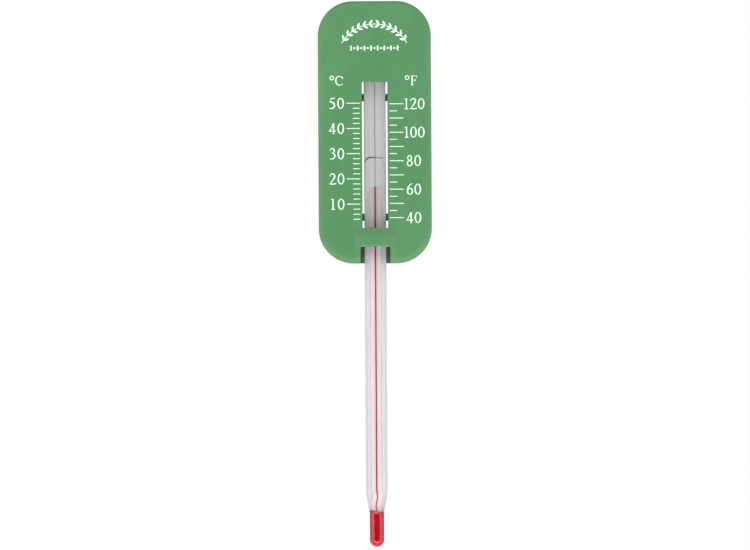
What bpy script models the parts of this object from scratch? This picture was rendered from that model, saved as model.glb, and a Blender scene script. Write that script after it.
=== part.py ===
"""Propagator thermometer: a glass spirit thermometer woven through a moulded plastic scale plate.

Units are metres, +Z is up along the stem and the scale faces -Y. The origin is on the stem's
axis at the scale plate's bottom edge, which rests on the compost when the stem is pushed in.
"""
import math

import bmesh
import bpy

MM = 0.001

# Glass stem, bulb and what they hold
STEM_R = 3.3 * MM
STEM_TOP_Z = 60.0 * MM
TAPER_TOP_Z = -69.1 * MM
NECK_Z = -75.3 * MM
TAPER_POWER = 1.15
NECK_R = 2.3 * MM
BORE_R = 0.25 * MM
THREAD_R = 0.2 * MM
BULB_R = 2.15 * MM
BULB_TIP_Z = -85.85 * MM
BULB_WALL = 0.45 * MM
MENISCUS_Z = 23.3 * MM
THREAD_TOP_LENGTH = 6.0 * MM
TIP_HEIGHT = 1.9 * MM
CHAMBER_R = 0.6 * MM
CHAMBER_HEIGHT = 1.0 * MM
ENAMEL_R = 2.0 * MM
ENAMEL_THICKNESS = 0.35 * MM
ENAMEL_HALF_ANGLE = math.radians(65)
ENAMEL_BOTTOM_Z = -69.0 * MM

# Scale plate
PLATE_WIDTH = 34.1 * MM
PLATE_HEIGHT = 79.1 * MM
PLATE_CORNER_R = 10.55 * MM
FACE_THICKNESS = 1.6 * MM
FACE_EDGE_R = 1.2 * MM
WALL = 1.4 * MM
SKIRT_DEPTH = 5.5 * MM
STEM_CLEARANCE = 0.1 * MM
STRAP_THICKNESS = 1.5 * MM
WINDOW_WIDTH = 7.7 * MM
WINDOW_Z = (10.7 * MM, 54.7 * MM)
NOTCH_WIDTH = 8.9 * MM
NOTCH_HEIGHT = 5.1 * MM
CHANNEL_WIDTH = 8.1 * MM
RAIL_WIDTH = 10.6 * MM
STOP_THICKNESS = 1.5 * MM
LOWER_STRAP_Z = (13.0 * MM, 15.2 * MM)
UPPER_STRAP_Z = (49.4 * MM, 51.6 * MM)
HOOD_WIDTH = 14.4 * MM
HOOD_Z = (0.6 * MM, 9.5 * MM)
HOOD_RISE = 0.9 * MM
HOOD_EDGE_R = 0.8 * MM
HOOD_CORNER_R = 3.0 * MM

# Adhesive beads behind the stem, between the rear straps
BEAD_SIZE = (3.95 * MM, 1.6 * MM, 2.3 * MM)
BEAD_Y = 3.0 * MM
UPPER_BEAD_Z = 56.5 * MM
LOWER_BEAD_Z = 9.0 * MM

# Gaps, overshoot of cutters and facets
GAP = 0.05 * MM
OVERSHOOT = 1.0 * MM
MERGE = 1e-6
TURN_STEPS = 40
ROD_SIDES = 16
CORNER_STEPS = 8
EDGE_STEPS = 3
TAPER_STEPS = 6
BAND_STEPS = 12
DOME_STEPS = 8
BEAD_SIDES = 24
SHARP_ANGLE = math.radians(35)

# Planes across the depth, worked out from the stem outwards
FACE_BACK_Y = -(STEM_R + STEM_CLEARANCE)
FACE_FRONT_Y = FACE_BACK_Y - FACE_THICKNESS
STRAP_FRONT_Y = STEM_R + STEM_CLEARANCE
BACK_Y = STRAP_FRONT_Y + STRAP_THICKNESS
CHANNEL_TOP_Z = STEM_TOP_Z + GAP + TIP_HEIGHT + STEM_CLEARANCE
THREAD_SPLIT_Z = MENISCUS_Z - THREAD_TOP_LENGTH


def clear_scene():
    for obj in list(bpy.data.objects):
        bpy.data.objects.remove(obj, do_unlink=True)


def make_collection(name):
    collection = bpy.data.collections.new(name)
    bpy.context.scene.collection.children.link(collection)
    return collection


def make_material(name, color, roughness, transmission=0.0):
    material = bpy.data.materials.new(name)
    material.use_nodes = True
    shader = material.node_tree.nodes["Principled BSDF"]
    shader.inputs["Base Color"].default_value = (*color, 1.0)
    shader.inputs["Roughness"].default_value = roughness
    shader.inputs["Metallic"].default_value = 0.0
    shader.inputs["Transmission Weight"].default_value = transmission
    return material


def add_object(name, mesh, collection, material=None, smooth=False):
    obj = bpy.data.objects.new(name, mesh)
    collection.objects.link(obj)
    if material:
        mesh.materials.append(material)
    if smooth:
        mesh.shade_smooth()
        mesh.set_sharp_from_angle(angle=SHARP_ANGLE)
    return obj


def add_boolean(obj, cutter, operation):
    modifier = obj.modifiers.new(f"{operation.lower()}_{cutter.name}", "BOOLEAN")
    modifier.object = cutter
    modifier.operation = operation
    modifier.solver = "EXACT"


def as_cutter(obj):
    obj.hide_render = True
    obj.display_type = "WIRE"
    return obj


def slab_mesh(name, x, y, z, corner_r=0.0, edge_r=0.0):
    """Box between the given limits, its corners rounded about Y and its front edges rounded."""
    mesh = bpy.data.meshes.new(name)
    bm = bmesh.new()
    bmesh.ops.create_cube(bm, size=1.0)
    for vert in bm.verts:
        vert.co.x = x[0] if vert.co.x < 0 else x[1]
        vert.co.y = y[0] if vert.co.y < 0 else y[1]
        vert.co.z = z[0] if vert.co.z < 0 else z[1]
    if corner_r:
        along_y = [e for e in bm.edges if e.verts[0].co.y != e.verts[1].co.y]
        bmesh.ops.bevel(bm, geom=along_y, offset=corner_r, segments=CORNER_STEPS,
                        profile=0.5, affect="EDGES")
    if edge_r:
        front = [e for e in bm.edges if all(v.co.y < y[0] + MERGE for v in e.verts)]
        bmesh.ops.bevel(bm, geom=front, offset=edge_r, segments=EDGE_STEPS, profile=0.5, affect="EDGES")
    bm.to_mesh(mesh)
    bm.free()
    return mesh


def turned_mesh(name, profile, closed):
    """Profile of (radius, z) points in the XZ plane, running down the outer side."""
    mesh = bpy.data.meshes.new(name)
    edges = [(i, i + 1) for i in range(len(profile) - 1)]
    if closed:
        edges.append((len(profile) - 1, 0))
    mesh.from_pydata([(r, 0.0, z) for r, z in profile], edges, [])
    return mesh


def add_turned(name, profile, collection, material, closed=False):
    obj = add_object(name, turned_mesh(name, profile, closed), collection, material)
    screw = obj.modifiers.new("turn", "SCREW")
    screw.steps = TURN_STEPS
    screw.render_steps = TURN_STEPS
    screw.use_merge_vertices = True
    screw.merge_threshold = MERGE
    screw.use_smooth_shade = True
    return obj


def add_rod(name, radius, z0, z1, collection, material, sides=ROD_SIDES):
    """Round rod about Z whose origin is at its lower end, on the stem's axis."""
    mesh = bpy.data.meshes.new(name)
    bm = bmesh.new()
    bmesh.ops.create_cone(bm, cap_ends=True, segments=sides, radius1=radius,
                          radius2=radius, depth=z1 - z0)
    bmesh.ops.translate(bm, verts=bm.verts, vec=(0, 0, (z1 - z0) / 2))
    bm.to_mesh(mesh)
    bm.free()
    rod = add_object(name, mesh, collection, material, smooth=True)
    rod.location.z = z0
    return rod


def quarter_arc(radius, center_z):
    """Points from the full radius down to the axis round a quarter circle."""
    angles = [math.pi / 2 * i / DOME_STEPS for i in range(DOME_STEPS + 1)]
    return [(radius * math.cos(a), center_z - radius * math.sin(a)) for a in angles]


def band_mesh(name, r0, r1, half_angle, z0, z1):
    """Strip curved round the stem's axis behind the bore, extruded along Z."""
    angles = [math.pi / 2 + half_angle * (2 * i / BAND_STEPS - 1) for i in range(BAND_STEPS + 1)]
    outline = [(r1 * math.cos(a), r1 * math.sin(a)) for a in angles]
    outline += [(r0 * math.cos(a), r0 * math.sin(a)) for a in reversed(angles)]
    curve = bpy.data.curves.new(name, "CURVE")
    curve.dimensions = "2D"
    curve.fill_mode = "BOTH"
    curve.extrude = (z1 - z0) / 2
    spline = curve.splines.new("POLY")
    spline.points.add(len(outline) - 1)
    spline.use_cyclic_u = True
    for point, (px, py) in zip(spline.points, outline):
        point.co = (px, py, 0.0, 1.0)
    guide = bpy.data.objects.new(name + "_outline", curve)
    bpy.context.scene.collection.objects.link(guide)
    bpy.context.view_layer.update()
    evaluated = guide.evaluated_get(bpy.context.evaluated_depsgraph_get())
    mesh = bpy.data.meshes.new_from_object(evaluated)
    bpy.data.objects.remove(guide, do_unlink=True)
    bm = bmesh.new()
    bm.from_mesh(mesh)
    bmesh.ops.remove_doubles(bm, verts=bm.verts, dist=MERGE)
    bmesh.ops.recalc_face_normals(bm, faces=bm.faces)
    bmesh.ops.translate(bm, verts=bm.verts, vec=(0, 0, (z0 + z1) / 2))
    bm.to_mesh(mesh)
    bm.free()
    return mesh


def make_scale_plate(parts, cutters, material):
    """Dished moulding: rounded face and skirt, a channel of two rails and three rear straps."""
    half = PLATE_WIDTH / 2
    front = FACE_FRONT_Y - HOOD_RISE - OVERSHOOT
    behind = BACK_Y + OVERSHOOT
    skirt_y = FACE_FRONT_Y + SKIRT_DEPTH
    plate = add_object("scale_plate", slab_mesh(
        "scale_plate", (-half, half), (FACE_FRONT_Y, skirt_y), (0, PLATE_HEIGHT),
        PLATE_CORNER_R, FACE_EDGE_R), parts, material)

    def shape(name, operation, x_half, y, z, corner_r=0.0, edge_r=0.0):
        mesh = slab_mesh(name, (-x_half, x_half), y, z, corner_r, edge_r)
        add_boolean(plate, as_cutter(add_object(name, mesh, cutters)), operation)

    shape("dish", "DIFFERENCE", half - WALL, (FACE_BACK_Y, skirt_y + OVERSHOOT),
          (WALL, PLATE_HEIGHT - WALL), PLATE_CORNER_R - WALL)
    shape("rails", "UNION", RAIL_WIDTH / 2, (FACE_BACK_Y - FACE_THICKNESS / 2, BACK_Y),
          (GAP, CHANNEL_TOP_Z + STOP_THICKNESS))
    shape("hood", "UNION", HOOD_WIDTH / 2, (FACE_FRONT_Y - HOOD_RISE, FACE_FRONT_Y + FACE_THICKNESS / 2),
          HOOD_Z, HOOD_CORNER_R, HOOD_EDGE_R)
    shape("channel", "DIFFERENCE", CHANNEL_WIDTH / 2, (FACE_BACK_Y, STRAP_FRONT_Y),
          (NOTCH_HEIGHT - GAP, CHANNEL_TOP_Z))
    shape("window", "DIFFERENCE", WINDOW_WIDTH / 2, (front, FACE_BACK_Y + OVERSHOOT), WINDOW_Z)
    shape("notch", "DIFFERENCE", NOTCH_WIDTH / 2, (front, STRAP_FRONT_Y), (-OVERSHOOT, NOTCH_HEIGHT))
    rear_openings = ((NOTCH_HEIGHT, LOWER_STRAP_Z[0]), (LOWER_STRAP_Z[1], UPPER_STRAP_Z[0]),
                     (UPPER_STRAP_Z[1], CHANNEL_TOP_Z))
    for number, z in enumerate(rear_openings, start=1):
        shape(f"rear_opening_{number}", "DIFFERENCE", CHANNEL_WIDTH / 2,
              (STRAP_FRONT_Y - OVERSHOOT, behind), z)


def make_stem(parts, cutters, glass, enamel):
    """Capillary tube with a tapered lower end and a slot behind the bore for the enamel."""
    profile = [(STEM_R, STEM_TOP_Z), (STEM_R, TAPER_TOP_Z)]
    for i in range(1, TAPER_STEPS + 1):
        t = i / TAPER_STEPS
        radius = STEM_R + (NECK_R - STEM_R) * t ** TAPER_POWER
        profile.append((radius, TAPER_TOP_Z + (NECK_Z - TAPER_TOP_Z) * t))
    profile += [(BORE_R, NECK_Z), (BORE_R, STEM_TOP_Z)]
    stem = add_turned("stem_glass", profile, parts, glass, closed=True)
    slot = band_mesh("enamel_slot", ENAMEL_R - GAP, ENAMEL_R + ENAMEL_THICKNESS + GAP,
                     ENAMEL_HALF_ANGLE + GAP / ENAMEL_R, ENAMEL_BOTTOM_Z - GAP, STEM_TOP_Z + OVERSHOOT)
    add_boolean(stem, as_cutter(add_object("enamel_slot", slot, cutters)), "DIFFERENCE")
    strip = band_mesh("enamel_strip", ENAMEL_R, ENAMEL_R + ENAMEL_THICKNESS, ENAMEL_HALF_ANGLE,
                      ENAMEL_BOTTOM_Z, STEM_TOP_Z)
    add_object("enamel_strip", strip, parts, enamel, smooth=True)


def make_tip_seal(parts, glass):
    """Upper end of the tube, melted to a dome over a small expansion chamber."""
    base = STEM_TOP_Z + GAP
    angles = [math.pi / 2 * i / DOME_STEPS for i in range(DOME_STEPS + 1)]
    dome = [(STEM_R * math.sin(a), base + TIP_HEIGHT * math.cos(a)) for a in angles]
    chamber = [(CHAMBER_R, base), (CHAMBER_R, base + CHAMBER_HEIGHT * 0.6),
               (CHAMBER_R * 0.6, base + CHAMBER_HEIGHT * 0.9), (0.0, base + CHAMBER_HEIGHT)]
    add_turned("tip_seal", dome + chamber, parts, glass)


def make_bulb(parts, glass, spirit):
    """Thin-walled glass cup under the stem and the spirit that fills it."""
    mouth_z = NECK_Z - GAP
    center_z = BULB_TIP_Z + BULB_R
    inner_r = BULB_R - BULB_WALL
    outside = [(BULB_R, mouth_z)] + quarter_arc(BULB_R, center_z)
    inside = quarter_arc(inner_r, center_z)[::-1] + [(inner_r, mouth_z)]
    # The inner and outer poles stay apart: each half of the profile ends on the axis.
    bulb = add_turned("bulb_glass", outside + inside, parts, glass, closed=True)
    remove_axis_edge(bulb.data)
    liquid_r = inner_r - GAP
    liquid = [(0.0, mouth_z), (liquid_r, mouth_z)] + quarter_arc(liquid_r, center_z)
    add_turned("bulb_spirit", liquid, parts, spirit)


def remove_axis_edge(mesh):
    """Delete a profile's edge that lies along the axis, which would turn into a line."""
    bm = bmesh.new()
    bm.from_mesh(mesh)
    on_axis = [e for e in bm.edges if all(abs(v.co.x) < MERGE for v in e.verts)]
    bmesh.ops.delete(bm, geom=on_axis, context="EDGES_FACES")
    bm.to_mesh(mesh)
    bm.free()


def make_thread(parts, spirit):
    """Spirit in the bore: the column up from the bulb, and its top end, which carries the meniscus."""
    add_rod("spirit_thread", THREAD_R, NECK_Z + GAP, THREAD_SPLIT_Z - GAP, parts, spirit)
    add_rod("spirit_thread_top", THREAD_R, THREAD_SPLIT_Z, MENISCUS_Z, parts, spirit)


def make_beads(parts, cutters, adhesive):
    """Two beads of set adhesive that hold the stem in the plate's channel from behind."""
    clearance = as_cutter(add_rod("stem_clearance", STEM_R + GAP, -OVERSHOOT,
                                  STEM_TOP_Z + OVERSHOOT, cutters, None, TURN_STEPS))
    for name, z in (("adhesive_upper", UPPER_BEAD_Z), ("adhesive_lower", LOWER_BEAD_Z)):
        mesh = bpy.data.meshes.new(name)
        bm = bmesh.new()
        bmesh.ops.create_uvsphere(bm, u_segments=BEAD_SIDES, v_segments=BEAD_SIDES // 2, radius=1.0)
        bmesh.ops.scale(bm, verts=bm.verts, vec=BEAD_SIZE)
        bm.to_mesh(mesh)
        bm.free()
        bead = add_object(name, mesh, parts, adhesive, smooth=True)
        bead.location = (0, BEAD_Y, z)
        add_boolean(bead, clearance, "DIFFERENCE")


def main():
    clear_scene()
    parts = make_collection("propagator_thermometer")
    cutters = make_collection("cutters")
    green = make_material("green_plastic", (0.105, 0.323, 0.127), 0.42)
    glass = make_material("clear_glass", (0.92, 0.95, 0.94), 0.04, transmission=1.0)
    enamel = make_material("white_enamel", (0.86, 0.85, 0.86), 0.3)
    spirit = make_material("red_spirit", (0.45, 0.005, 0.02), 0.1)
    adhesive = make_material("clear_adhesive", (0.75, 0.72, 0.62), 0.35)
    make_scale_plate(parts, cutters, green)
    make_stem(parts, cutters, glass, enamel)
    make_tip_seal(parts, glass)
    make_bulb(parts, glass, spirit)
    make_thread(parts, spirit)
    make_beads(parts, cutters, adhesive)


main()
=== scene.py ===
"""Looks of the propagator thermometer: fine moulding, print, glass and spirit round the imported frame.

Units are metres. +Z runs up the stem, the scale faces -Y and the stem's axis is x = y = 0.
"""
import math

import bmesh
import bpy
from mathutils import Matrix, Vector, noise


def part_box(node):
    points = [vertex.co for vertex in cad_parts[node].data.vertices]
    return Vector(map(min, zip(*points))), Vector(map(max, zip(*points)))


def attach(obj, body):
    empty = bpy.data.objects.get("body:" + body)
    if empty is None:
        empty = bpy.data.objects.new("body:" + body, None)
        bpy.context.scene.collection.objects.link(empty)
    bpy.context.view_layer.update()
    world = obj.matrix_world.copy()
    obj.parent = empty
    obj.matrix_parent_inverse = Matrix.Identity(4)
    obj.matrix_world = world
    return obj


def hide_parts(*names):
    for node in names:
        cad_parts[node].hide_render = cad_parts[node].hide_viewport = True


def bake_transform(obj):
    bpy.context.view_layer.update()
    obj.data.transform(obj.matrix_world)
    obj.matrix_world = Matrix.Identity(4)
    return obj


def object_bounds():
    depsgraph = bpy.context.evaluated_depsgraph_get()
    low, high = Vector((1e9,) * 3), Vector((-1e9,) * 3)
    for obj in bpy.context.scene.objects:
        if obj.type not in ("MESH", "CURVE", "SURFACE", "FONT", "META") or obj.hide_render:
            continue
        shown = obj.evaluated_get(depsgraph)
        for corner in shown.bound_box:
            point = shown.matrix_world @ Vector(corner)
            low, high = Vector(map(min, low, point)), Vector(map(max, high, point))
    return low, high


MM = 0.001
HOLDER, MENISCUS = "holder", "meniscus"

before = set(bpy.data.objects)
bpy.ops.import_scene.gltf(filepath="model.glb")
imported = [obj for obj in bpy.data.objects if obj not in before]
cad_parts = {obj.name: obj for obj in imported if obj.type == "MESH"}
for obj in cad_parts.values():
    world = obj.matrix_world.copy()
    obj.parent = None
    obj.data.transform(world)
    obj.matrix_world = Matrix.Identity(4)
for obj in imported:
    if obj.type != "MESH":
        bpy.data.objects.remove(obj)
cad_low, cad_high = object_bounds()
plate_low, plate_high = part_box("scale_plate")
stem_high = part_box("stem_glass")[1]
tip_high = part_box("tip_seal")[1]
bulb_low, bulb_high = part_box("bulb_glass")
enamel_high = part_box("enamel_strip")[1]
spirit_low, spirit_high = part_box("bulb_spirit")
thread_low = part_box("spirit_thread")[0]
top_low, top_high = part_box("spirit_thread_top")

# Scale plate: the depths follow from the frame, the openings are the moulding's own sizes
HOOD_RISE = 0.9 * MM
FACE_Y = plate_low.y + HOOD_RISE
FACE_THICKNESS = 1.6 * MM
FACE_BACK_Y = FACE_Y + FACE_THICKNESS
BACK_Y = plate_high.y
STRAP_FRONT_Y = BACK_Y - 1.5 * MM
SKIRT_Y = FACE_Y + 5.5 * MM
PLATE_HALF = plate_high.x
PLATE_TOP = plate_high.z
PLATE_CORNER_R = 10.55 * MM
FACE_EDGE_DEPTH = 1.2 * MM
FACE_EDGE_WIDTH = 2.5 * MM
SKIRT_EDGE_R = 0.4 * MM
INNER_FILLET = 0.6 * MM
WALL = 1.4 * MM
SMALL_EDGE_R = 0.3 * MM
WINDOW_HALF = 3.85 * MM
WINDOW_Z = (10.7 * MM, 54.7 * MM)
NOTCH_HALF = 4.45 * MM
NOTCH_TOP = 5.1 * MM
NOTCH_LIP_DEPTH = 0.5 * MM
NOTCH_LIP_WIDTH = 0.6 * MM
CHANNEL_HALF = 4.05 * MM
RAIL_HALF = 5.3 * MM
RAIL_CORNER_R = 0.5 * MM
CHANNEL_TOP = tip_high.z + 0.1 * MM
STOP_THICKNESS = 1.5 * MM
STRAPS_Z = ((13.0 * MM, 15.2 * MM), (49.4 * MM, 51.6 * MM))
HOOD_TOP_Z = 10.35 * MM
HOOD_RAMP = 2.1 * MM
HOOD_HALF = 6.6 * MM
HOOD_SHOULDER = 1.4 * MM
HOOD_CROWN_Z = 8.6 * MM
HOOD_FOOT_SHARE = 0.08
HOOD_GRID = 0.38 * MM
PIN_MARK_R = 1.3 * MM
PIN_MARK_DEPTH = 0.12 * MM
PIN_MARKS = ((10.3 * MM, 14.0 * MM), (10.3 * MM, 62.0 * MM))
CUT_OVER = 1.0 * MM  # how far a cutter reaches past the surface that it opens

# Print: each stroke or leaf that crosses another lies a layer higher, so that no two faces coincide
INK = 0.03 * MM
STROKE_LAYER = 0.001 * MM
LEAF_LAYER = 0.002 * MM
DIGIT_HEIGHT = 3.4 * MM
LETTER_HEIGHT = 2.9 * MM
STROKE_SHARE = 0.86
TICK_THICKNESS = 0.24 * MM
TICK_TIP_LENGTH = 0.3 * TICK_THICKNESS
TICK_TIP_WIDTH = 0.6 * TICK_THICKNESS
CELSIUS_10_Z, CELSIUS_50_Z = 17.9 * MM, 48.27 * MM
FAHRENHEIT_40_Z, FAHRENHEIT_120_Z = 13.76 * MM, 48.04 * MM
CELSIUS_TICK_X, CELSIUS_MAJOR_X, CELSIUS_MINOR_X = -4.5 * MM, -8.5 * MM, -6.6 * MM
FAHRENHEIT_TICK_X, FAHRENHEIT_MAJOR_X, FAHRENHEIT_MINOR_X = 4.4 * MM, 8.7 * MM, 6.7 * MM
CELSIUS_DIGITS_X = (-12.75 * MM, -10.25 * MM)
FAHRENHEIT_TWO_DIGITS_X = (10.45 * MM, 12.85 * MM)
FAHRENHEIT_THREE_DIGITS_X = (9.5 * MM, 11.65 * MM, 14.0 * MM)
UNIT_BASE_Z = 53.6 * MM
CELSIUS_LETTER_X, CELSIUS_RING_X = -10.65 * MM, -12.85 * MM
FAHRENHEIT_LETTER_X, FAHRENHEIT_RING_X = 11.8 * MM, 9.8 * MM
DEGREE_RING_RISE, DEGREE_RING_R, DEGREE_RING_THICKNESS = 2.3 * MM, 0.55 * MM, 0.27 * MM

# Ornament
GARLAND_CENTER_Z, GARLAND_R, GARLAND_SWEEP = 60.9 * MM, 11.2 * MM, math.radians(61)
VINE_THICKNESS = 0.22 * MM
LEAF_PAIRS, FIRST_LEAF, LEAF_SPARE = 6, 0.85, 0.45
LEAF_LEAN, LEAF_LENGTH, LEAF_WIDTH = 0.75, 1.7 * MM, 0.62 * MM
BUD_ROW_Z, BUD_ROW_HALF, BUD_COUNT = 64.85 * MM, 7.0 * MM, 15
BUD_WIDTH = 0.6 * MM
DOT_R, DOT_THICKNESS = 0.16 * MM, 0.3 * MM

# Glass
STEM_R = stem_high.x
BULB_R = bulb_high.x
TAPER_TOP_Z = -69.3 * MM
TAPER_END_Z = -75.7 * MM
TURN_STEPS = 96
NECK_END_Z = -74.85 * MM
NECK_SLANT = 0.23
SWAY_LENGTH, SWAY = 7.5 * MM, 0.17 * MM
MARK_Z, MARK_LIFT, MARK_HOOK = 31.75 * MM, 0.015 * MM, 1.0 * MM

# Enamel, with its faces at shares of the tube's radius, and spirit
ENAMEL_INNER, ENAMEL_OUTER = 0.61, 0.71
ENAMEL_FACING, ENAMEL_HALF_ANGLE = math.radians(85), math.radians(62)
THREAD_R = 0.14 * MM
LIQUID_SHOULDER = 0.45 * MM
LIQUID_CROWN = 0.12 * MM
# Painted shadow of the empty bore, a fine grey line
BORE_SHADOW_R, BORE_SHADOW_Y, BORE_SHADOW_FOOT_Z = 0.12 * MM, 0.36 * MM, -73.5 * MM
# Red light of the thread, painted on the enamel behind it
RED_LIGHT_HALF = 0.75 * MM
RED_LIGHT_SHARE = 0.54
RED_LIGHT_FLATNESS = 0.06

# Light tent: brightness by angle round the object from the direction that the scale faces, in degrees,
# and the heights and depths in the unit sky between which one light fades into the next
LIGHT_AROUND = ((0, 0.07), (38, 0.07), (50, 1.0), (98, 1.0),
                (112, 0.14), (150, 0.18), (166, 0.4), (180, 0.4))
SIDE_LIGHT = 2.2
TOP_LIGHT = 1.95
FLOOR_LIGHT = 3.3
BACK_SHARE = 0.45
BACK_FADE, TOP_FADE, FLOOR_FADE = (-0.1, -0.8), (0.12, 0.4), (-0.16, -0.4)
WHITE, BLACK = (1.0, 1.0, 1.0, 1.0), (0.0, 0.0, 0.0, 1.0)

# Camera: level, centred on the whole length, with the slight roll and offset of a hand-set camera
LENS_MM, SENSOR_MM = 135.0, 36.0
VIEW_WIDTH = 225.8 * MM
CAMERA_X, CAMERA_Z = -0.18 * MM, -3.48 * MM
CAMERA_ROLL = math.radians(-0.32)


# ---------------------------------------------------------------- mesh helpers

def smooth_step(t):
    t = min(max(t, 0.0), 1.0)
    return t * t * (3 - 2 * t)


def spread(start, end, count):
    return [start + (end - start) * i / (count - 1) for i in range(count)]


def new_object(name, bm, material=None, sharp_deg=40):
    mesh = bpy.data.meshes.new(name)
    bm.to_mesh(mesh)
    bm.free()
    mesh.shade_smooth()
    mesh.set_sharp_from_angle(angle=math.radians(sharp_deg))
    obj = bpy.data.objects.new(name, mesh)
    bpy.context.scene.collection.objects.link(obj)
    if material:
        mesh.materials.append(material)
    return obj


def finish_piece(obj, body, slot, *nodes):
    if nodes:
        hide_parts(*nodes)
    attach(obj, body)


def skin(bm, rings, closed=False):
    """Faces through rings of equal length: a loop of rings, or a run of them with both ends capped."""
    for ring_a, ring_b in zip(rings, rings[1:] + rings[:1] if closed else rings[1:]):
        for i in range(len(ring_a)):
            j = (i + 1) % len(ring_a)
            bm.faces.new((ring_a[i], ring_a[j], ring_b[j], ring_b[i]))
    if not closed:
        bm.faces.new(rings[0][::-1])
        bm.faces.new(rings[-1])


def rounded_outline(half_x, z0, z1, radius, grow=0.0, corner_steps=8, side_steps=1):
    """(x, z) points round a rectangle with round corners, grown outwards by grow."""
    hx, lo, hi = half_x + grow, z0 - grow, z1 + grow
    r = max(radius + grow, 0.02 * MM)
    corners = ((hx - r, hi - r, 0), (-hx + r, hi - r, 90), (-hx + r, lo + r, 180), (hx - r, lo + r, 270))
    points = []
    for index, (cx, cz, start) in enumerate(corners):
        for i in range(corner_steps + 1):
            a = math.radians(start + 90 * i / corner_steps)
            points.append((cx + r * math.cos(a), cz + r * math.sin(a)))
        ncx, ncz, nstart = corners[(index + 1) % 4]
        a = math.radians(nstart)
        end = (ncx + r * math.cos(a), ncz + r * math.sin(a))
        here = points[-1]
        for i in range(1, side_steps):
            t = i / side_steps
            points.append((here[0] + (end[0] - here[0]) * t, here[1] + (end[1] - here[1]) * t))
    return points


def round_over(depth, steps, width=None):
    """(depth, inset) pairs round a quarter circle or ellipse, from the face inwards."""
    width = depth if width is None else width
    angles = [math.pi / 2 * i / steps for i in range(steps + 1)]
    return [(depth * (1 - math.cos(a)), width * (1 - math.sin(a))) for a in angles]


def loft(outline, levels):
    """Closed bmesh through rings: each level is (y, grow), and y may be a function of (x, z)."""
    bm = bmesh.new()
    rings = []
    for y, grow in levels:
        points = outline(grow)
        rings.append([bm.verts.new((x, y(x, z) if callable(y) else y, z)) for x, z in points])
    skin(bm, rings)
    bmesh.ops.recalc_face_normals(bm, faces=bm.faces)
    return bm


def turn(profile, steps=TURN_STEPS, wobble=None):
    """Closed bmesh turned round Z from (radius, z) points, the first and last on the axis."""
    bm = bmesh.new()
    rings = []
    for r, z in profile:
        dx, dy = wobble(z) if wobble else (0.0, 0.0)
        if r == 0:
            rings.append([bm.verts.new((dx, dy, z))])
            continue
        angles = [2 * math.pi * i / steps for i in range(steps)]
        rings.append([bm.verts.new((dx + r * math.cos(a), dy + r * math.sin(a), z)) for a in angles])
    for ring_a, ring_b in zip(rings, rings[1:]):
        for i in range(steps):
            j = (i + 1) % steps
            corners = (ring_a[i % len(ring_a)], ring_a[j % len(ring_a)],
                       ring_b[j % len(ring_b)], ring_b[i % len(ring_b)])
            bm.faces.new(list(dict.fromkeys(corners)))
    bmesh.ops.recalc_face_normals(bm, faces=bm.faces)
    return bm


def arc_profile(radius, center_z, start_deg, end_deg, steps, height=None):
    """(radius, z) points on an arc about the axis, 0 degrees level and 90 straight up."""
    height = radius if height is None else height
    points = []
    for a in spread(math.radians(start_deg), math.radians(end_deg), steps + 1):
        r = radius * math.cos(a)
        points.append((0.0 if r < 1e-9 else r, center_z + height * math.sin(a)))
    return points


# ---------------------------------------------------------------- materials

NOISE_LOW, NOISE_HIGH = 0.3, 0.7  # nearly all of a noise texture's values lie between these


def split_axes(tree, vector):
    split = tree.nodes.new("ShaderNodeSeparateXYZ")
    tree.links.new(vector, split.inputs["Vector"])
    return [split.outputs[axis] for axis in "XYZ"]


def math_node(tree, operation, *values):
    """Result of a Math node whose inputs are numbers or other nodes' outputs."""
    node = tree.nodes.new("ShaderNodeMath")
    node.operation = operation
    for socket, value in zip(node.inputs, values):
        if isinstance(value, (int, float)):
            socket.default_value = value
        else:
            tree.links.new(value, socket)
    return node.outputs["Value"]


def map_range(tree, value, low, high, out_low=0.0, out_high=1.0, interpolation="LINEAR"):
    node = tree.nodes.new("ShaderNodeMapRange")
    node.interpolation_type = interpolation
    for key, number in (("From Min", low), ("From Max", high), ("To Min", out_low), ("To Max", out_high)):
        node.inputs[key].default_value = number
    tree.links.new(value, node.inputs["Value"])
    return node.outputs["Result"]


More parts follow.
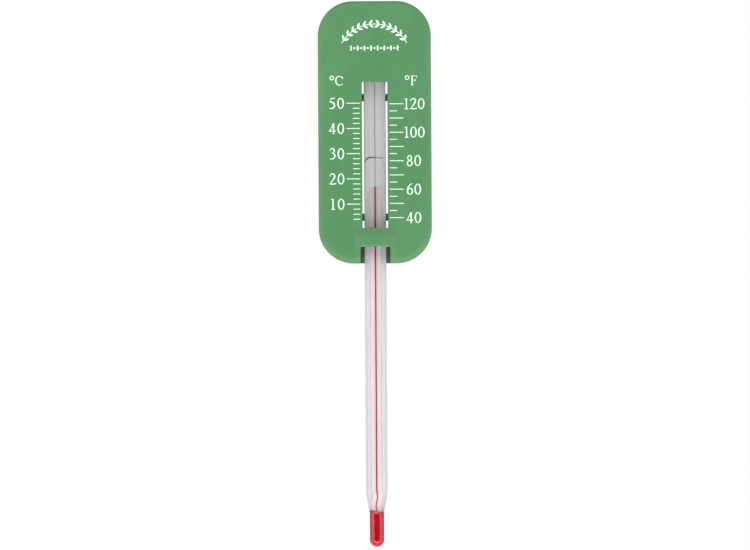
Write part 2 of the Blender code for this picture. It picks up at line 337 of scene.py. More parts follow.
class Nodes:
    """A material's node tree with short calls for what the materials below share."""

    def __init__(self, name, **plain):
        self.material = bpy.data.materials.new(name)
        self.material.use_nodes = True
        self.tree = self.material.node_tree
        self.shader = self.tree.nodes["Principled BSDF"]
        for key, value in plain.items():
            self.shader.inputs[key.replace("_", " ")].default_value = value
        self.place = self.tree.nodes.new("ShaderNodeTexCoord").outputs["Object"]

    def link(self, source, target):
        self.tree.links.new(source, target)

    def noise(self, size, detail=2.0, stretch=(1, 1, 1), distortion=0.0):
        """Noise whose features are about size metres across, stretched along the axes."""
        mapping = self.tree.nodes.new("ShaderNodeMapping")
        mapping.inputs["Scale"].default_value = [1 / (size * s) for s in stretch]
        self.link(self.place, mapping.inputs["Vector"])
        texture = self.tree.nodes.new("ShaderNodeTexNoise")
        texture.inputs["Scale"].default_value = 1.0
        texture.inputs["Detail"].default_value = detail
        texture.inputs["Distortion"].default_value = distortion
        self.link(mapping.outputs["Vector"], texture.inputs["Vector"])
        return texture.outputs["Fac"]

    def base(self, value, first, second, low=NOISE_LOW, high=NOISE_HIGH):
        mix = self.tree.nodes.new("ShaderNodeMix")
        mix.data_type = "RGBA"
        mix.inputs["A"].default_value = (*first, 1.0)
        mix.inputs["B"].default_value = (*second, 1.0)
        self.link(map_range(self.tree, value, low, high), mix.inputs["Factor"])
        self.link(mix.outputs["Result"], self.shader.inputs["Base Color"])

    def roughness(self, value, smooth, rough):
        self.link(map_range(self.tree, value, NOISE_LOW, NOISE_HIGH, smooth, rough),
                  self.shader.inputs["Roughness"])

    def bump(self, value, height, strength=1.0):
        node = self.tree.nodes.new("ShaderNodeBump")
        node.inputs["Distance"].default_value = height
        node.inputs["Strength"].default_value = strength
        self.link(value, node.inputs["Height"])
        self.link(node.outputs["Normal"], self.shader.inputs["Normal"])


def green_plastic():
    n = Nodes("green_plastic", Specular_IOR_Level=0.32)
    flow = n.noise(9 * MM, detail=3, stretch=(1, 1, 2.4), distortion=0.6)
    n.base(flow, (0.055, 0.173, 0.066), (0.064, 0.187, 0.075))
    n.roughness(n.noise(1.4 * MM, detail=4), 0.36, 0.46)
    n.bump(n.noise(0.16 * MM, detail=3), 0.004 * MM, 0.6)
    return n.material


def printing_ink():
    n = Nodes("printing_ink")
    n.base(n.noise(0.5 * MM, detail=3), (0.50, 0.69, 0.54), (0.60, 0.77, 0.64))
    n.roughness(n.noise(0.8 * MM), 0.42, 0.55)
    n.bump(n.noise(0.12 * MM, detail=2), 0.003 * MM, 0.5)
    return n.material


def drawn_glass():
    n = Nodes("drawn_glass", Transmission_Weight=1.0, IOR=1.47, Roughness=0.0)
    streaks = n.noise(0.5 * MM, detail=1, stretch=(1, 1, 60))
    n.base(streaks, (0.96, 0.975, 0.97), (0.99, 1.0, 0.995))
    n.bump(n.noise(7 * MM, detail=0, stretch=(1, 1, 8)), 0.002 * MM, 0.15)
    return n.material


def white_enamel():
    """Enamel with faint clouds and painted light: lighter behind the window than below the plate, against
    the shade of the recess.
    """
    n = Nodes("white_enamel", IOR=1.45)
    # painted light: lifts the enamel towards white above the plate's bottom, against the shade of the recess
    recess_painted_lift = map_range(n.tree, split_axes(n.tree, n.place)[2], 4 * MM, 11 * MM, 0.0, 0.8)
    clouds = n.noise(1.1 * MM, detail=2, stretch=(1, 1, 14))
    clouds_and_painted_lift = math_node(n.tree, "MULTIPLY_ADD", clouds, 0.4, recess_painted_lift)
    n.base(clouds_and_painted_lift, (0.76, 0.71, 0.75), (0.97, 0.93, 0.94), 0.0, 1.0)
    n.roughness(n.noise(0.6 * MM), 0.35, 0.5)
    return n.material


def red_spirit():
    n = Nodes("red_spirit", IOR=1.36, Specular_IOR_Level=0.0, Metallic=0.45)
    n.base(n.noise(1.5 * MM, detail=1, stretch=(1, 1, 3)), (0.46, 0.001, 0.009), (0.53, 0.002, 0.014))
    n.roughness(n.noise(1.0 * MM), 0.26, 0.34)
    return n.material


def thin_spirit():
    """The same spirit in the fine bore, where its own shade makes it look browner."""
    n = Nodes("thin_spirit", IOR=1.36, Specular_IOR_Level=0.0)
    n.base(n.noise(0.6 * MM, detail=1, stretch=(1, 1, 6)), (0.20, 0.026, 0.030), (0.27, 0.034, 0.038))
    n.roughness(n.noise(0.8 * MM), 0.4, 0.5)
    return n.material


def tinted_enamel():
    """Enamel with the thread's red light painted on it, fading out to both sides."""
    n = Nodes("tinted_enamel", IOR=1.45, Roughness=0.45)
    aside = math_node(n.tree, "ABSOLUTE", split_axes(n.tree, n.place)[0])
    waves = n.noise(1.0 * MM, detail=1, stretch=(1, 1, 10))
    wavy = math_node(n.tree, "MULTIPLY_ADD", waves, 0.1 * MM, aside)
    # painted red light: pink in the middle, fading to the enamel's own white at the sides
    n.base(wavy, (0.92, 0.64, 0.64), (0.90, 0.86, 0.89), 0.2 * MM, RED_LIGHT_HALF)
    return n.material


# Grey for the painted shadow of the empty bore
def empty_bore():
    n = Nodes("empty_bore", Roughness=0.4)
    n.base(n.noise(0.8 * MM, detail=1, stretch=(1, 1, 8)), (0.50, 0.49, 0.50), (0.60, 0.58, 0.60))
    return n.material


def set_adhesive():
    n = Nodes("set_adhesive", IOR=1.5)
    n.base(n.noise(0.9 * MM, detail=3), (0.70, 0.67, 0.55), (0.82, 0.80, 0.71))
    n.roughness(n.noise(0.7 * MM), 0.22, 0.38)
    n.bump(n.noise(0.6 * MM, detail=2), 0.02 * MM, 0.5)
    return n.material


def marking_ink():
    n = Nodes("marking_ink")
    n.base(n.noise(0.3 * MM, detail=2), (0.03, 0.03, 0.032), (0.075, 0.07, 0.07))
    n.roughness(n.noise(0.3 * MM), 0.5, 0.7)
    return n.material


# ---------------------------------------------------------------- scale plate

def hood_rise(x, z):
    """How far the face stands proud over the tube, between the window and the notch."""
    up = smooth_step((HOOD_TOP_Z - z) / HOOD_RAMP)
    side = smooth_step((HOOD_HALF - abs(x)) / HOOD_SHOULDER)
    climb = min(max(z, 0.0) / HOOD_CROWN_Z, 1.0)
    foot = HOOD_FOOT_SHARE + (1 - HOOD_FOOT_SHARE) * (0.7 * climb + 0.3 * math.sin(math.pi / 2 * climb))
    return HOOD_RISE * up * side * foot


def raise_hood(bm):
    """Cuts a fine grid into the face round the hood and swells it forward."""
    columns = round(2 * HOOD_HALF / HOOD_GRID)
    rows = round(HOOD_TOP_Z / HOOD_GRID)
    cuts = [((x, 0, 0), (1, 0, 0)) for x in spread(-HOOD_HALF, HOOD_HALF, columns + 1)]
    cuts += [((0, 0, z), (0, 0, 1)) for z in spread(HOOD_GRID / 2, HOOD_TOP_Z, rows + 1)]
    for point, normal in cuts:
        geometry = bm.verts[:] + bm.edges[:] + bm.faces[:]
        bmesh.ops.bisect_plane(bm, geom=geometry, dist=1e-7, plane_co=point, plane_no=normal)
    for vert in bm.verts:
        depth = vert.co.y - FACE_Y
        if depth < FACE_EDGE_DEPTH:
            vert.co.y -= hood_rise(vert.co.x, vert.co.z) * (1 - depth / FACE_EDGE_DEPTH)


class Moulding:
    """A mesh object that takes Boolean cutters, and gives up its final mesh at the end."""

    def __init__(self, name, bm, material):
        self.obj = new_object(name, bm, material)
        self.cutters = []

    def shape(self, operation, bm):
        cutter = new_object(f"{self.obj.name}_cutter_{len(self.cutters)}", bm)
        self.cutters.append(cutter)
        modifier = self.obj.modifiers.new(cutter.name, "BOOLEAN")
        modifier.object = cutter
        modifier.operation = operation
        modifier.solver = "EXACT"

    def done(self, sharp_deg=40):
        """Applies the cutters, removes them and returns the finished object."""
        bpy.context.view_layer.update()
        evaluated = self.obj.evaluated_get(bpy.context.evaluated_depsgraph_get())
        mesh = bpy.data.meshes.new_from_object(evaluated)
        self.obj.modifiers.clear()
        self.obj.data = mesh
        mesh.shade_smooth()
        mesh.set_sharp_from_angle(angle=math.radians(sharp_deg))
        for cutter in self.cutters:
            bpy.data.objects.remove(cutter, do_unlink=True)
        return self.obj


def face_relief(depth):
    """y of a point that lies depth behind the swollen face."""
    return lambda x, z: FACE_Y - hood_rise(x, z) + depth


def make_plate(material):
    """The moulding: rounded body and hood, hollow back, rails and straps, window, notch and pin marks."""
    def outline(half, z0, z1, radius, **steps):
        return lambda grow: rounded_outline(half, z0, z1, radius, grow, **steps)

    def back_edge(radius, y, steps, sign=-1):
        return [(y - depth, sign * inset) for depth, inset in reversed(round_over(radius, steps))]

    rim = [(FACE_Y + d, -g) for d, g in round_over(FACE_EDGE_DEPTH, 12, FACE_EDGE_WIDTH)]
    rim += back_edge(SKIRT_EDGE_R, SKIRT_Y, 4)
    body = loft(outline(PLATE_HALF, 0.0, PLATE_TOP, PLATE_CORNER_R, corner_steps=18), rim)
    raise_hood(body)
    plate = Moulding("scale_plate_moulding", body, material)

    dish = [(FACE_BACK_Y + d, -g) for d, g in round_over(INNER_FILLET, 5)]
    dish += back_edge(SKIRT_EDGE_R, SKIRT_Y, 4, sign=1)
    dish.append((SKIRT_Y + CUT_OVER, SKIRT_EDGE_R))
    plate.shape("DIFFERENCE", loft(
        outline(PLATE_HALF - WALL, WALL, PLATE_TOP - WALL, PLATE_CORNER_R - WALL, corner_steps=16), dish))

    rails = [(FACE_Y + FACE_THICKNESS / 2, 0.0)]
    rails += back_edge(SMALL_EDGE_R, BACK_Y, 3)
    rail_top = CHANNEL_TOP + STOP_THICKNESS
    plate.shape("UNION", loft(
        outline(RAIL_HALF, 0.05 * MM, rail_top, RAIL_CORNER_R, corner_steps=4), rails))
    plate.shape("DIFFERENCE", loft(
        outline(CHANNEL_HALF, NOTCH_TOP - 0.05 * MM, CHANNEL_TOP, 0.02 * MM, corner_steps=1),
        [(FACE_BACK_Y, 0.0), (STRAP_FRONT_Y, 0.0)]))

    flare = round_over(SMALL_EDGE_R, 4)
    window = [(FACE_Y - CUT_OVER, SMALL_EDGE_R)] + [(FACE_Y + d, g) for d, g in flare]
    window.append((FACE_BACK_Y + CUT_OVER, 0.0))
    plate.shape("DIFFERENCE", loft(outline(WINDOW_HALF, *WINDOW_Z, 0.25 * MM, corner_steps=4), window))

    lip = round_over(NOTCH_LIP_DEPTH, 6, NOTCH_LIP_WIDTH)
    notch = [(face_relief(-CUT_OVER), NOTCH_LIP_WIDTH)] + [(face_relief(d), g) for d, g in lip]
    notch.append((STRAP_FRONT_Y, 0.0))
    plate.shape("DIFFERENCE", loft(
        outline(NOTCH_HALF, -2 * CUT_OVER, NOTCH_TOP, 0.35 * MM, corner_steps=4, side_steps=10), notch))

    lower_strap, upper_strap = STRAPS_Z
    openings = ((NOTCH_TOP, lower_strap[0]), (lower_strap[1], upper_strap[0]), (upper_strap[1], CHANNEL_TOP))
    rear = [(STRAP_FRONT_Y - CUT_OVER, 0.0)] + back_edge(SMALL_EDGE_R, BACK_Y, 3, sign=1)
    rear.append((BACK_Y + CUT_OVER, SMALL_EDGE_R))
    for z0, z1 in openings:
        plate.shape("DIFFERENCE", loft(outline(CHANNEL_HALF, z0, z1, 0.25 * MM, corner_steps=3), rear))

    for x, z in PIN_MARKS:
        for side in (-1, 1):
            mark = loft(lambda grow, cx=side * x, cz=z: [
                (cx + px, pz) for px, pz in rounded_outline(
                    PIN_MARK_R, cz - PIN_MARK_R, cz + PIN_MARK_R, PIN_MARK_R, grow, 8)],
                [(FACE_BACK_Y - PIN_MARK_DEPTH, 0.0), (FACE_BACK_Y + CUT_OVER, 0.0)])
            plate.shape("DIFFERENCE", mark)

    obj = plate.done()
    weighted = obj.modifiers.new("even_normals", "WEIGHTED_NORMAL")
    weighted.keep_sharp = True
    finish_piece(obj, HOLDER, "green_plastic", "scale_plate")


# ---------------------------------------------------------------- print

def curve_points(points, steps=6, closed=False):
    """Smooth line through (x, z, width) points by Catmull-Rom."""
    count = len(points)
    if count == 2:
        return points

    def at(i):
        return points[i % count if closed else min(max(i, 0), count - 1)]

    result = []
    for i in range(count if closed else count - 1):
        a, b, c, d = (at(i + k) for k in (-1, 0, 1, 2))
        for j in range(steps):
            t = j / steps
            result.append(tuple(
                0.5 * (2 * b[k] + (c[k] - a[k]) * t + (2 * a[k] - 5 * b[k] + 4 * c[k] - d[k]) * t * t
                       + (3 * b[k] - a[k] - 3 * c[k] + d[k]) * t ** 3) for k in range(3)))
    if not closed:
        result.append(points[-1])
    return result


def ink_line(bm, points, closed=False, height=INK):
    """Bar of ink along (x, z, width) points, lying on the face."""
    sections = []
    count = len(points)
    for i, (x, z, width) in enumerate(points):
        before = points[i - 1] if closed or i else points[i]
        after = points[(i + 1) % count] if closed or i < count - 1 else points[i]
        along = Vector((after[0] - before[0], after[1] - before[1])).normalized()
        side = Vector((-along.y, along.x)) * width / 2
        front, back = FACE_Y - height, FACE_Y + INK
        sections.append([bm.verts.new((x + s * side.x, y, z + s * side.y))
                         for s, y in ((1, front), (-1, front), (-1, back), (1, back))])
    skin(bm, sections, closed)


def ring(cx, cz, half_w, half_h, thick, thin, steps=28):
    """Closed oval stroke, thick at its sides and thin at its top and bottom."""
    points = []
    for i in range(steps):
        a = 2 * math.pi * i / steps
        weight = abs(math.cos(a)) ** 1.5
        points.append((cx + half_w * math.cos(a), cz + half_h * math.sin(a), thin + (thick - thin) * weight))
    return points


THICK, THIN = 0.145, 0.085

# Strokes of each glyph in units of its height: (closed, smooth, points of x, z, width).
GLYPHS = {
    "0": [(True, False, ring(0, 0.5, 0.235, 0.45, THICK, THIN))],
    "1": [(False, False, [(0.02, 0.98, 0.13), (0.02, 0.02, 0.13)]),
          (False, True, [(0.03, 0.965, 0.07), (-0.07, 0.93, 0.07), (-0.16, 0.87, 0.05)]),
          (False, False, [(-0.16, 0.03, 0.06), (0.20, 0.03, 0.06)]),
          (False, False, [(0.02, 0.16, 0.13), (0.02, 0.03, 0.24)])],
    "2": [(False, True, [(-0.25, 0.70, 0.05), (-0.19, 0.87, 0.09), (-0.02, 0.955, 0.10), (0.15, 0.86, 0.14),
                         (0.165, 0.66, 0.145), (0.02, 0.40, 0.11), (-0.13, 0.21, 0.085),
                         (-0.25, 0.07, 0.07)]),
          (False, False, [(-0.27, 0.055, 0.11), (0.24, 0.055, 0.11)]),
          (False, True, [(0.22, 0.05, 0.10), (0.27, 0.11, 0.07), (0.30, 0.19, 0.04)])],
    "3": [(False, True, [(-0.22, 0.78, 0.05), (-0.13, 0.92, 0.085), (0.02, 0.955, 0.10), (0.15, 0.84, 0.13),
                         (0.12, 0.67, 0.10), (-0.08, 0.54, 0.05)]),
          (False, True, [(-0.09, 0.55, 0.05), (0.08, 0.53, 0.10), (0.21, 0.34, 0.145), (0.12, 0.12, 0.12),
                         (-0.05, 0.035, 0.08), (-0.19, 0.05, 0.09), (-0.24, 0.09, 0.07)])],
    "4": [(False, False, [(0.10, 0.97, 0.14), (0.10, 0.0, 0.13)]),
          (False, False, [(0.10, 0.96, 0.09), (-0.26, 0.27, 0.07)]),
          (False, False, [(-0.30, 0.27, 0.10), (0.29, 0.27, 0.10)])],
    "5": [(False, True, [(0.23, 0.99, 0.10), (0.13, 0.93, 0.10), (-0.10, 0.93, 0.10)]),
          (False, False, [(-0.10, 0.965, 0.07), (-0.22, 0.60, 0.07)]),
          (False, True, [(-0.22, 0.62, 0.06), (-0.05, 0.60, 0.12), (0.13, 0.49, 0.15), (0.20, 0.32, 0.15),
                         (0.12, 0.13, 0.13), (-0.06, 0.035, 0.09), (-0.20, 0.055, 0.10),
                         (-0.26, 0.09, 0.08)])],
    "6": [(True, False, ring(0.01, 0.31, 0.215, 0.27, THICK, THIN)),
          (False, True, [(-0.20, 0.30, 0.14), (-0.19, 0.52, 0.145), (-0.10, 0.75, 0.12), (0.07, 0.92, 0.08),
                         (0.24, 0.98, 0.05)])],
    "8": [(True, False, ring(0.0, 0.75, 0.165, 0.205, 0.115, 0.075)),
          (True, False, ring(0.0, 0.27, 0.205, 0.235, 0.135, 0.08))],
    "C": [(False, True, [(0.36, 0.66, 0.06), (0.29, 0.82, 0.08), (0.10, 0.95, 0.08), (-0.14, 0.92, 0.12),
                         (-0.31, 0.72, 0.15), (-0.35, 0.48, 0.16), (-0.27, 0.23, 0.15),
                         (-0.08, 0.06, 0.11), (0.16, 0.055, 0.08), (0.37, 0.20, 0.06)]),
          (False, False, [(0.355, 0.98, 0.05), (0.36, 0.66, 0.06)])],
    "F": [(False, False, [(-0.17, 0.98, 0.14), (-0.17, 0.02, 0.14)]),
          (False, False, [(-0.32, 0.965, 0.07), (0.34, 0.965, 0.07)]),
          (False, False, [(0.325, 0.98, 0.06), (0.325, 0.76, 0.05)]),
          (False, False, [(-0.17, 0.53, 0.07), (0.17, 0.53, 0.07)]),
          (False, False, [(0.17, 0.66, 0.05), (0.17, 0.40, 0.05)]),
          (False, False, [(-0.33, 0.03, 0.06), (0.02, 0.03, 0.06)])],
}


def draw_glyph(bm, glyph, cx, base_z, height):
    for order, (closed, smooth, points) in enumerate(GLYPHS[glyph]):
        points = curve_points(points, closed=closed) if smooth else points
        placed = [(cx + x * height, base_z + z * height, w * height * STROKE_SHARE) for x, z, w in points]
        ink_line(bm, placed, closed, INK + order * STROKE_LAYER)


def draw_number(bm, digits, centers, z):
    for digit, cx in zip(digits, centers):
        draw_glyph(bm, digit, cx, z - DIGIT_HEIGHT / 2, DIGIT_HEIGHT)


def tick(bm, x0, x1, z):
    """Graduation line with slightly rounded ends."""
    ink_line(bm, [(x0, z, TICK_TIP_WIDTH), (x0 + TICK_TIP_LENGTH, z, TICK_THICKNESS),
                  (x1 - TICK_TIP_LENGTH, z, TICK_THICKNESS), (x1, z, TICK_TIP_WIDTH)])


def draw_unit(bm, letter, letter_x, ring_x):
    """The scale's letter with a degree ring before it."""
    draw_glyph(bm, letter, letter_x, UNIT_BASE_Z, LETTER_HEIGHT)
    ink_line(bm, ring(ring_x, UNIT_BASE_Z + DEGREE_RING_RISE, DEGREE_RING_R, DEGREE_RING_R,
                      DEGREE_RING_THICKNESS, DEGREE_RING_THICKNESS), True)


def make_celsius(material):
    bm = bmesh.new()
    per_degree = (CELSIUS_50_Z - CELSIUS_10_Z) / 40
    for degrees in range(4, 51, 2):
        z = CELSIUS_10_Z + (degrees - 10) * per_degree
        major = degrees % 10 == 0
        tick(bm, CELSIUS_MAJOR_X if major else CELSIUS_MINOR_X, CELSIUS_TICK_X, z)
        if major:
            draw_number(bm, str(degrees), CELSIUS_DIGITS_X, z)
    draw_unit(bm, "C", CELSIUS_LETTER_X, CELSIUS_RING_X)
    finish_piece(new_object("celsius_print", bm, material), HOLDER, None)


def make_fahrenheit(material):
    bm = bmesh.new()
    per_degree = (FAHRENHEIT_120_Z - FAHRENHEIT_40_Z) / 80
    for degrees in range(40, 121, 5):
        z = FAHRENHEIT_40_Z + (degrees - 40) * per_degree
        tick(bm, FAHRENHEIT_TICK_X, FAHRENHEIT_MAJOR_X if degrees % 10 == 0 else FAHRENHEIT_MINOR_X, z)
        if degrees % 20 == 0:
            centers = FAHRENHEIT_THREE_DIGITS_X if degrees >= 100 else FAHRENHEIT_TWO_DIGITS_X
            draw_number(bm, str(degrees), centers, z)
    draw_unit(bm, "F", FAHRENHEIT_LETTER_X, FAHRENHEIT_RING_X)
    finish_piece(new_object("fahrenheit_print", bm, material), HOLDER, None)


def leaf(bm, x, z, angle, length, width, height=INK):
    """Pointed oval that starts at (x, z) and points along angle."""
    points = []
    for t in spread(0.0, 1.0, 9):
        along = length * t
        points.append((x + along * math.cos(angle), z + along * math.sin(angle),
                       width * math.sin(math.pi * t) ** 0.8 + 0.05 * MM))
    ink_line(bm, points, height=height)


def make_garland(material):
    """Arched sprig of leaf pairs over a straight row of buds."""
    def on_arch(angle):
        return GARLAND_R * math.sin(angle), GARLAND_CENTER_Z + GARLAND_R * math.cos(angle)

    bm = bmesh.new()
    ink_line(bm, [(*on_arch(a), VINE_THICKNESS) for a in spread(-GARLAND_SWEEP, GARLAND_SWEEP, 41)])
    for side in (-1, 1):
        for i in range(LEAF_PAIRS):
            a = GARLAND_SWEEP * (i + FIRST_LEAF) / (LEAF_PAIRS + LEAF_SPARE)
            x, z = on_arch(side * a)
            along = math.pi - a if side > 0 else a
            for layer, lean in enumerate((-LEAF_LEAN, LEAF_LEAN), start=1):
                leaf(bm, x, z, along + lean, LEAF_LENGTH, LEAF_WIDTH, INK + layer * LEAF_LAYER)
    for i, x in enumerate(spread(-BUD_ROW_HALF, BUD_ROW_HALF, BUD_COUNT)):
        if i % 2:
            ink_line(bm, ring(x, BUD_ROW_Z, DOT_R, DOT_R, DOT_THICKNESS, DOT_THICKNESS, 12), True)
        else:
            leaf(bm, x, BUD_ROW_Z - LEAF_LENGTH / 2, math.pi / 2, LEAF_LENGTH, BUD_WIDTH)
    finish_piece(new_object("garland_print", bm, material), HOLDER, None)


# ---------------------------------------------------------------- glass, enamel and spirit

def tube_radius(z):
    """Outer radius of the stem below its top, down to the bulb's straight part."""
    t = (TAPER_TOP_Z - z) / (TAPER_TOP_Z - TAPER_END_Z)
    if t <= 0:
        return STEM_R
    return STEM_R + (BULB_R - STEM_R) * (0.25 * smooth_step(t) + 0.75 * min(t, 1.0) ** 1.12)


def make_tube(material):
    """The whole outer surface of the glass: sealed tip, stem, drawn-in neck and bulb."""
    dome = tip_high.z - stem_high.z
    profile = arc_profile(STEM_R, stem_high.z, 90, 0, 14, dome)
    profile += [(STEM_R, z) for z in spread(stem_high.z, TAPER_TOP_Z, 60)[1:]]
    profile += [(tube_radius(z), z) for z in spread(TAPER_TOP_Z, TAPER_END_Z, 26)[1:]]
    center_z = bulb_low.z + BULB_R
    profile += [(BULB_R, z) for z in spread(TAPER_END_Z, center_z, 12)[1:-1]]
    profile += arc_profile(BULB_R, center_z, 0, -90, 14)
    finish_piece(new_object("glass_tube", turn(profile), material),
                 HOLDER, "clear_glass", "stem_glass", "tip_seal", "bulb_glass")


def make_enamel(material):
    """White band curved behind the bore, drawn in with the tube at its foot."""
    angles = [ENAMEL_FACING + a for a in spread(-ENAMEL_HALF_ANGLE, ENAMEL_HALF_ANGLE, 25)]
    bm = bmesh.new()
    rings = []
    for z in spread(enamel_high.z, NECK_END_Z, 110):
        outer, inner = (share * tube_radius(z) for share in (ENAMEL_OUTER, ENAMEL_INNER))
        section = [(outer * math.cos(a), outer * math.sin(a)) for a in angles]
        section += [(inner * math.cos(a), inner * math.sin(a)) for a in reversed(angles)]
        slant = NECK_SLANT * smooth_step((TAPER_TOP_Z - z) / (TAPER_TOP_Z - NECK_END_Z))
        rings.append([bm.verts.new((x, y, z - slant * x)) for x, y in section])
    skin(bm, rings)
    bmesh.ops.recalc_face_normals(bm, faces=bm.faces)
    finish_piece(new_object("enamel_backing", bm, material), HOLDER, "white_enamel", "enamel_strip")


def neck_sway(z):
    """The bore's slight bend where the neck was drawn in."""
    t = (z - TAPER_END_Z) / SWAY_LENGTH
    if not 0 < t < 1:
        return 0.0, 0.0
    return -SWAY * math.sin(2 * math.pi * t) * math.sin(math.pi * t), 0.0


def stretch_with_reading(obj):
    """Bakes the piece's placement into its mesh."""
    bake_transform(obj)


def make_column(thread_material, red_light_material):
    """The spirit in the bore, with its hollow meniscus, and its red light painted on the enamel behind it.
    """
    meniscus = top_high.z
    rows = spread(thread_low.z, meniscus - 0.1 * MM, 220)
    profile = [(0.0, rows[0])] + [(THREAD_R, z) for z in rows]
    profile += [(THREAD_R, meniscus), (THREAD_R * 0.6, meniscus - 0.06 * MM), (0.0, meniscus - 0.09 * MM)]
    thread = new_object("spirit_column", turn(profile, 20, neck_sway), thread_material)
    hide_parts("spirit_thread", "spirit_thread_top")
    stretch_with_reading(thread)

    # painted red light: a flat patch on the enamel behind the thread
    painted_red_halo = turn([(0.0, rows[0])] + [(RED_LIGHT_HALF, z) for z in rows] + [(0.0, rows[-1])], 24, neck_sway)
    for vert in painted_red_halo.verts:
        vert.co.y = RED_LIGHT_SHARE * tube_radius(vert.co.z) + vert.co.y * RED_LIGHT_FLATNESS
    stretch_with_reading(new_object("spirit_painted_red_light", painted_red_halo, red_light_material))


def make_bulb_liquid(material):
    """The spirit that fills the bulb, cut off at the slant of the neck."""
    liquid_r = spirit_high.x
    center_z = spirit_low.z + liquid_r
    liquid = [(0.0, NECK_END_Z + LIQUID_CROWN)]
    liquid += [(liquid_r - inset, NECK_END_Z - depth) for depth, inset in round_over(LIQUID_SHOULDER, 6)]
    liquid += [(liquid_r, z) for z in spread(NECK_END_Z - LIQUID_SHOULDER, center_z, 10)[1:-1]]
    liquid += arc_profile(liquid_r, center_z, 0, -90, 12)
    body = turn(liquid, 64)
    for vert in body.verts:
        near_top = smooth_step((vert.co.z - NECK_END_Z) / (2 * MM) + 1)
        vert.co.z -= NECK_SLANT * near_top * vert.co.x
    finish_piece(new_object("bulb_liquid", body, material), HOLDER, "red_spirit", "bulb_spirit")


def make_bore_line(material):
    """Painted shadow of the empty bore: a fine grey line behind the column and above it."""
    rows = spread(BORE_SHADOW_FOOT_Z, stem_high.z - 1.0 * MM, 60)
    line = [(0.0, rows[0])] + [(BORE_SHADOW_R, z) for z in rows] + [(0.0, rows[-1])]
    bore = turn(line, 10, lambda z: (neck_sway(z)[0], BORE_SHADOW_Y))
    finish_piece(new_object("bore_shadow_line", bore, material), HOLDER, None)


def make_calibration_mark(material):
    """Fine line that the maker inks on the glass to set it against the scale."""
    front, back = STEM_R + MARK_LIFT, STEM_R - MARK_LIFT
    bm = bmesh.new()
    sections = []
    for t in spread(0.0, 1.0, 40):
        angle = math.radians(-90 + (-66 + 112 * t))
        hook = MARK_HOOK * max(0.0, 1 - t / 0.34) ** 2
        width = (0.42 - 0.22 * smooth_step((t - 0.4) / 0.25)) * MM
        z = MARK_Z - hook + 0.22 * MM * math.sin(math.pi * t)
        sections.append([bm.verts.new((r * math.cos(angle), r * math.sin(angle), z + s * width / 2))
                         for s, r in ((1, front), (-1, front), (-1, back), (1, back))])
    skin(bm, sections)
    bmesh.ops.recalc_face_normals(bm, faces=bm.faces)
    finish_piece(new_object("calibration_mark", bm, material), HOLDER, None)


def make_bead(node, seed, material):
    """Bead of set adhesive moulded to the tube's back, with a lumpy outer skin."""
    low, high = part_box(node)
    center, half = (low + high) / 2, (high - low) / 2
    bm = bmesh.new()
    bmesh.ops.create_icosphere(bm, subdivisions=5, radius=1.0)
    tube_clear = STEM_R + 0.04 * MM
    for vert in bm.verts:
        p = vert.co.normalized()
        lump = 1 + 0.10 * noise.noise(p * 1.7 + Vector((seed, 0, 0)))
        flat = Vector((p.x * half.x * 0.94, p.y * half.y * 0.96, p.z * half.z * 0.96)) * min(lump, 1.03)
        x, y, z = center.x + flat.x, center.y + flat.y, center.z + flat.z
        wall_y = math.sqrt(max(tube_clear ** 2 - x * x, 0.0)) if abs(x) < tube_clear else 0.0
        vert.co = (x, max(y, wall_y + 0.02 * MM), z)
    finish_piece(new_object(node.replace("adhesive", "bead"), bm, material), HOLDER, "set_adhesive", node)


# ---------------------------------------------------------------- studio

def stage_material(name):
    material = bpy.data.materials.new(name)
    material.use_nodes = True
    shader = material.node_tree.nodes["Principled BSDF"]
    shader.inputs["Base Color"].default_value = BLACK
    shader.inputs["Specular IOR Level"].default_value = 0.0
    shader.inputs["Emission Color"].default_value = WHITE
    shader.inputs["Emission Strength"].default_value = 1.0
    return material


def make_stage():
    """White floor and surround that only the camera sees: the tent gives the light."""
    floor_bm = bmesh.new()
    bmesh.ops.create_circle(floor_bm, cap_ends=True, segments=64, radius=3.0)
    floor = new_object("floor", floor_bm, stage_material("floor"))
    floor.location.z = cad_low.z - 0.1 * MM
    surround_bm = bmesh.new()
    bmesh.ops.create_uvsphere(surround_bm, u_segments=48, v_segments=24, radius=3.2)
    surround = new_object("surround", surround_bm, stage_material("surround"))
    for backdrop in (floor, surround):
        for kind in ("diffuse", "glossy", "transmission", "volume_scatter", "shadow"):
            setattr(backdrop, f"visible_{kind}", False)


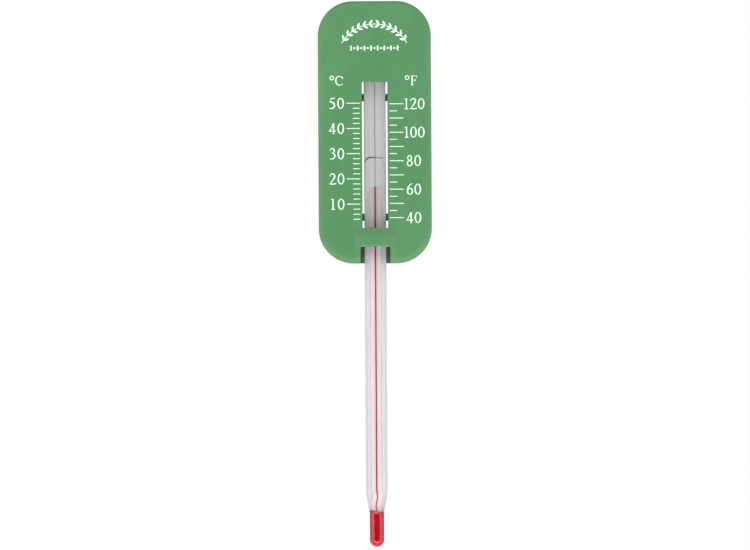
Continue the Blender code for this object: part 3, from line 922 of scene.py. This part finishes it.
def make_world():
    """Light tent: tall soft lights to both sides, a dim front and soft light from above and below."""
    world = bpy.data.worlds.new("light_tent")
    bpy.context.scene.world = world
    world.use_nodes = True
    tree = world.node_tree

    def calc(operation, *values):
        return math_node(tree, operation, *values)

    def fade(value, low_high, end):
        return map_range(tree, value, *low_high, 0.0, end, "SMOOTHSTEP")

    x, y, z = split_axes(tree, tree.nodes.new("ShaderNodeTexCoord").outputs["Generated"])
    turned = calc("ARCTAN2", calc("ABSOLUTE", x), calc("MULTIPLY", y, -1.0))
    around = tree.nodes.new("ShaderNodeValToRGB")
    tree.links.new(calc("DIVIDE", turned, math.pi), around.inputs["Fac"])
    stops = around.color_ramp.elements
    while len(stops) < len(LIGHT_AROUND):
        stops.new(0.5)
    for stop, (degrees, level) in zip(stops, LIGHT_AROUND):
        stop.position = degrees / 180
        stop.color = (level, level, level, 1.0)

    level = calc("MULTIPLY", around.outputs["Color"], SIDE_LIGHT)
    ahead = calc("ADD", fade(y, BACK_FADE, 1.0 - BACK_SHARE), BACK_SHARE)
    for low_high, strength in ((TOP_FADE, TOP_LIGHT), (FLOOR_FADE, FLOOR_LIGHT)):
        soft = calc("MULTIPLY", ahead, strength)
        change = calc("MULTIPLY", fade(z, low_high, 1.0), calc("SUBTRACT", soft, level))
        level = calc("ADD", level, change)
    background = tree.nodes["Background"]
    background.inputs["Color"].default_value = WHITE
    tree.links.new(level, background.inputs["Strength"])


def make_camera():
    """Long lens, level with the middle of the whole length, looking along +Y."""
    data = bpy.data.cameras.new("camera")
    data.lens, data.sensor_width = LENS_MM, SENSOR_MM
    distance = VIEW_WIDTH * LENS_MM / SENSOR_MM
    camera = bpy.data.objects.new("camera", data)
    bpy.context.scene.collection.objects.link(camera)
    roll = Matrix.Rotation(CAMERA_ROLL, 4, "Z")
    place = Matrix.Translation((CAMERA_X, FACE_Y - distance, CAMERA_Z))
    camera.matrix_world = place @ Matrix.Rotation(math.radians(90), 4, "X") @ roll
    data.clip_start, data.clip_end = 0.01, 20.0
    bpy.context.scene.camera = camera


def build():
    make_plate(green_plastic())
    ink = printing_ink()
    make_celsius(ink)
    make_fahrenheit(ink)
    make_garland(ink)
    make_tube(drawn_glass())
    make_enamel(white_enamel())
    make_column(thin_spirit(), tinted_enamel())
    make_bulb_liquid(red_spirit())
    make_bore_line(empty_bore())
    make_calibration_mark(marking_ink())
    adhesive = set_adhesive()
    make_bead("adhesive_upper", 1.3, adhesive)
    make_bead("adhesive_lower", 5.1, adhesive)
    make_stage()
    make_world()
    make_camera()
    bpy.context.scene.view_settings.view_transform = "Standard"


build()
